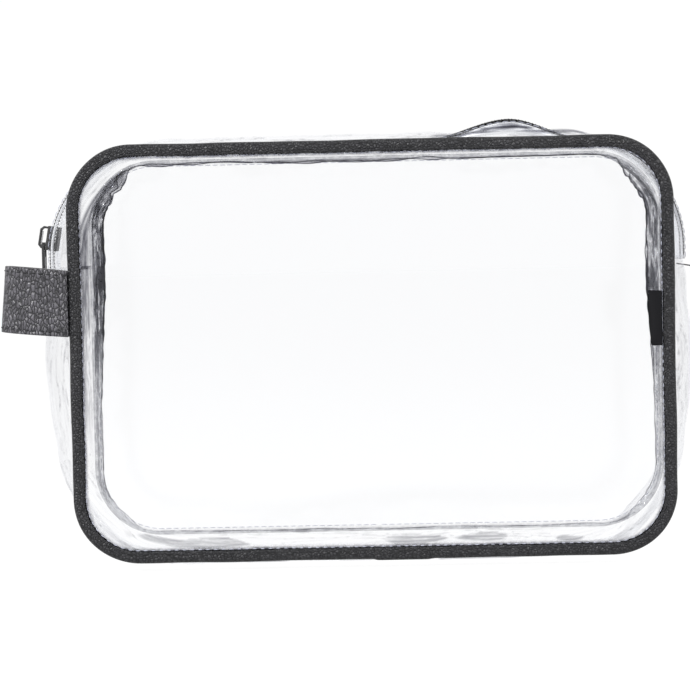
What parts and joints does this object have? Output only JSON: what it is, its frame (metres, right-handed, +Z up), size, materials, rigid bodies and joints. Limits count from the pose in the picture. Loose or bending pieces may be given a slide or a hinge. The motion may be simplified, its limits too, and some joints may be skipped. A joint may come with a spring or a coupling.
{
  "type": "makeup bag",
  "caption": "Clear boxy toiletry bag with bound front edge, zip round the top, a slider with a pull, a folded side loop strap and a small blank woven label.",
  "frame": {"origin": "on the base face, under the middle of the bag's body", "axes": "+Z up, front panel faces -Y, side strap on -X"},
  "size_m": [0.2784, 0.094, 0.1743],
  "materials": {
    "clear_film": "clear soft vinyl film, glossy, slightly wrinkled",
    "zip_tape": "thin woven translucent white tape",
    "zip_coil": "black nylon coil, satin",
    "black_metal": "black enamelled zinc, semi-gloss",
    "spring_steel": "bare spring leaf",
    "binding_leather": "black artificial leather, fine grain",
    "strap_leather": "black artificial leather, pebbled grain",
    "strap_lining": "black artificial leather, smooth backing",
    "woven_label": "black damask weave, blank",
    "thread": "black sewing thread",
    "clear_thread": "pale sewing thread"
  },
  "bodies": {
    "bag": {"front_panel": "clear_film", "back_panel_lower": "clear_film", "lower_gusset": "clear_film", "front_zip_strip": "clear_film", "front_zip_tape": "zip_tape", "front_zip_coil": "zip_coil", "front_binding": "binding_leather", "binding_thread": "thread", "strap_outer": "strap_leather", "strap_lining": "strap_lining", "strap_thread_top": "thread", "strap_thread_bottom": "thread", "back_seam_thread_lower": "clear_thread", "front_tape_thread": "clear_thread", "end_seam_thread_left": "thread", "end_seam_thread_right": "thread"},
    "mouth_flap": {"back_panel_upper": "clear_film", "rear_zip_strip": "clear_film", "rear_zip_tape": "zip_tape", "rear_zip_coil": "zip_coil", "back_seam_thread_upper": "clear_thread", "rear_tape_thread": "clear_thread"},
    "slider": {"slider_body": "black_metal", "slider_cap": "black_metal", "slider_lock_spring": "spring_steel"},
    "pull": {"pull_tab": "black_metal"},
    "label": {"woven_label": "woven_label"}
  },
  "joints": [
    {"name": "zip_travel", "type": "hinge", "parent": "bag", "child": "slider", "pos_m": [-0.0885, 0, 0.126], "axis": [0, 1, 0], "range_deg": [0, 80]},
    {"name": "mouth_open", "type": "hinge", "parent": "bag", "child": "mouth_flap", "pos_m": [0, 0, 0.12], "axis": [-1, 0, 0], "range_deg": [0, 32], "deforming": ["rear_zip_strip", "rear_zip_tape", "rear_zip_coil", "rear_tape_thread"]},
    {"name": "pull_swing", "type": "hinge", "parent": "slider", "child": "pull", "pos_m": [-0.1357, 0, 0.13158], "axis": [0, 1, 0], "range_deg": [0, 25]},
    {"name": "label_lift", "type": "hinge", "parent": "bag", "child": "label", "pos_m": [0.1145, -0.0447, 0.0974], "axis": [0, 0, 1], "range_deg": [0, 90], "stiffness_Nm_per_rad": 0.0004}
  ],
  "couplings": [
    {"joint": "mouth_open", "follows": "zip_travel", "ratio": 0.4}
  ]
}
